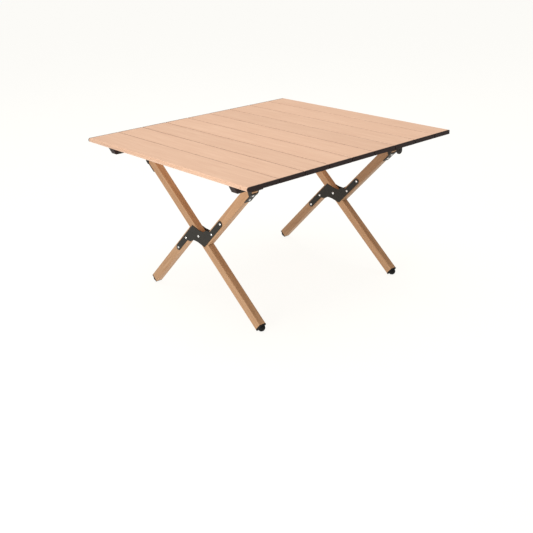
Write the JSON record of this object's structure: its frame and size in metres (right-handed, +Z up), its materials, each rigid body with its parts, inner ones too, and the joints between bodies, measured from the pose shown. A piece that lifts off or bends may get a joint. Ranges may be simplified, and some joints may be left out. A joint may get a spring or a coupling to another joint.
{
  "type": "folding picnic table",
  "caption": "Low folding picnic table: roll-up slatted top on two rails over crossed wooden leg sets that close like scissors and fold up against the rails.",
  "frame": {"origin": "centre of the box around the table on the plane its feet stand on", "axes": "+Z up from the floor to the top; +X along the rails, the way the top rolls; +Y along the slats"},
  "size_m": [0.666, 0.6, 0.39],
  "materials": {
    "wood_film_slat": "printed wood grain film, satin",
    "dark_plastic": "moulded, fine matt",
    "elastic_cord": "braided sleeve",
    "coated_steel": "powder coat, fine texture",
    "leg_wood": "oiled beech, satin",
    "rubber_foot": "moulded rubber",
    "bright_rivet": "nickel plated"
  },
  "bodies": {
    "near_rail": {"rail_near": "coated_steel", "rail_plugs_near": "dark_plastic"},
    "far_rail": {"rail_far": "coated_steel", "rail_plugs_far": "dark_plastic"},
    "top_slat_1": {"slat_1": "wood_film_slat", "end_caps_1": "dark_plastic", "cord_1": "elastic_cord", "locators_first": "dark_plastic"},
    "top_slat_2": {"slat_2": "wood_film_slat", "end_caps_2": "dark_plastic", "cord_2": "elastic_cord"},
    "top_slat_3": {"slat_3": "wood_film_slat", "end_caps_3": "dark_plastic", "cord_3": "elastic_cord"},
    "top_slat_4": {"slat_4": "wood_film_slat", "end_caps_4": "dark_plastic", "cord_4": "elastic_cord"},
    "top_slat_5": {"slat_5": "wood_film_slat", "end_caps_5": "dark_plastic", "cord_5": "elastic_cord"},
    "top_slat_6": {"slat_6": "wood_film_slat", "end_caps_6": "dark_plastic", "cord_6": "elastic_cord"},
    "top_slat_7": {"slat_7": "wood_film_slat", "end_caps_7": "dark_plastic", "cord_7": "elastic_cord"},
    "top_slat_8": {"slat_8": "wood_film_slat", "end_caps_8": "dark_plastic", "cord_8": "elastic_cord"},
    "top_slat_9": {"slat_9": "wood_film_slat", "end_caps_9": "dark_plastic", "cord_9": "elastic_cord", "locators_last": "dark_plastic"},
    "near_swivel_1": {"swivel_near_1": "coated_steel"},
    "far_swivel_1": {"swivel_far_1": "coated_steel"},
    "split_leg_1": {"leg_upper_1": "leg_wood", "leg_lower_1": "leg_wood", "foot_split_1": "rubber_foot", "cross_plates_1": "coated_steel", "plate_rivets_1": "bright_rivet", "shoe_split_1": "coated_steel", "shoe_pins_split_1": "bright_rivet"},
    "straight_leg_1": {"leg_straight_1": "leg_wood", "foot_straight_1": "rubber_foot", "shoe_straight_1": "coated_steel", "shoe_pins_straight_1": "bright_rivet"},
    "near_swivel_2": {"swivel_near_2": "coated_steel"},
    "far_swivel_2": {"swivel_far_2": "coated_steel"},
    "split_leg_2": {"leg_upper_2": "leg_wood", "leg_lower_2": "leg_wood", "foot_split_2": "rubber_foot", "cross_plates_2": "coated_steel", "plate_rivets_2": "bright_rivet", "shoe_split_2": "coated_steel", "shoe_pins_split_2": "bright_rivet"},
    "straight_leg_2": {"leg_straight_2": "leg_wood", "foot_straight_2": "rubber_foot", "shoe_straight_2": "coated_steel", "shoe_pins_straight_2": "bright_rivet"}
  },
  "joints": [
    {"name": "top_lift", "type": "slide", "parent": "near_rail", "child": "top_slat_1", "axis": [0, 0, 1], "range_m": [0, 0.2]},
    {"name": "roll_1", "type": "hinge", "parent": "top_slat_1", "child": "top_slat_2", "pos_m": [-0.246, 0, 0.39], "axis": [0, -1, 0], "range_deg": [0, 62]},
    {"name": "roll_2", "type": "hinge", "parent": "top_slat_2", "child": "top_slat_3", "pos_m": [-0.172, 0, 0.39], "axis": [0, -1, 0], "range_deg": [0, 76]},
    {"name": "roll_3", "type": "hinge", "parent": "top_slat_3", "child": "top_slat_4", "pos_m": [-0.098, 0, 0.39], "axis": [0, -1, 0], "range_deg": [0, 62]},
    {"name": "roll_4", "type": "hinge", "parent": "top_slat_4", "child": "top_slat_5", "pos_m": [-0.024, 0, 0.39], "axis": [0, -1, 0], "range_deg": [0, 72]},
    {"name": "roll_5", "type": "hinge", "parent": "top_slat_5", "child": "top_slat_6", "pos_m": [0.05, 0, 0.39], "axis": [0, -1, 0], "range_deg": [0, 98]},
    {"name": "roll_6", "type": "hinge", "parent": "top_slat_6", "child": "top_slat_7", "pos_m": [0.124, 0, 0.39], "axis": [0, -1, 0], "range_deg": [0, 84]},
    {"name": "roll_7", "type": "hinge", "parent": "top_slat_7", "child": "top_slat_8", "pos_m": [0.198, 0, 0.39], "axis": [0, -1, 0], "range_deg": [0, 124]},
    {"name": "roll_8", "type": "hinge", "parent": "top_slat_8", "child": "top_slat_9", "pos_m": [0.272, 0, 0.39], "axis": [0, -1, 0], "range_deg": [0, 124]},
    {"name": "set_fold_1", "type": "hinge", "parent": "near_rail", "child": "near_swivel_1", "pos_m": [-0.225, -0.218, 0.3665], "axis": [0, -1, 0], "range_deg": [0, 90]},
    {"name": "scissor", "type": "hinge", "parent": "near_swivel_1", "child": "split_leg_1", "pos_m": [-0.225, -0.198, 0.349], "axis": [-1, 0, 0], "range_deg": [0, 46.3]},
    {"name": "crossing_1", "type": "hinge", "parent": "split_leg_1", "child": "straight_leg_1", "pos_m": [-0.225, 0, 0.18319], "axis": [1, 0, 0], "range_deg": [0, 92.6]},
    {"name": "far_pin_1", "type": "hinge", "parent": "straight_leg_1", "child": "far_swivel_1", "pos_m": [-0.225, 0.198, 0.349], "axis": [-1, 0, 0], "range_deg": [0, 46.3]},
    {"name": "set_fold_2", "type": "hinge", "parent": "near_rail", "child": "near_swivel_2", "pos_m": [0.244, -0.218, 0.34], "axis": [0, 1, 0], "range_deg": [0, 90]},
    {"name": "scissor_2", "type": "hinge", "parent": "near_swivel_2", "child": "split_leg_2", "pos_m": [0.244, -0.198, 0.349], "axis": [-1, 0, 0], "range_deg": [0, 46.3]},
    {"name": "crossing_2", "type": "hinge", "parent": "split_leg_2", "child": "straight_leg_2", "pos_m": [0.244, 0, 0.18319], "axis": [1, 0, 0], "range_deg": [0, 92.6]},
    {"name": "far_pin_2", "type": "hinge", "parent": "straight_leg_2", "child": "far_swivel_2", "pos_m": [0.244, 0.198, 0.349], "axis": [-1, 0, 0], "range_deg": [0, 46.3]},
    {"name": "far_rail_turn", "type": "hinge", "parent": "far_swivel_1", "child": "far_rail", "pos_m": [-0.225, 0.218, 0.3665], "axis": [0, 1, 0], "range_deg": [0, 90]}
  ],
  "couplings": [
    {"joint": "roll_1", "follows": "roll_8", "ratio": 0.5},
    {"joint": "roll_2", "follows": "roll_8", "ratio": 0.6129},
    {"joint": "roll_3", "follows": "roll_8", "ratio": 0.5},
    {"joint": "roll_4", "follows": "roll_8", "ratio": 0.58065},
    {"joint": "roll_5", "follows": "roll_8", "ratio": 0.79032},
    {"joint": "roll_6", "follows": "roll_8", "ratio": 0.67742},
    {"joint": "roll_7", "follows": "roll_8", "ratio": 1},
    {"joint": "crossing_1", "follows": "scissor", "ratio": 2},
    {"joint": "far_pin_1", "follows": "scissor", "ratio": 1},
    {"joint": "scissor_2", "follows": "scissor", "ratio": 1},
    {"joint": "crossing_2", "follows": "scissor", "ratio": 2},
    {"joint": "far_pin_2", "follows": "scissor", "ratio": 1},
    {"joint": "far_rail_turn", "follows": "set_fold_1", "ratio": 1}
  ]
}
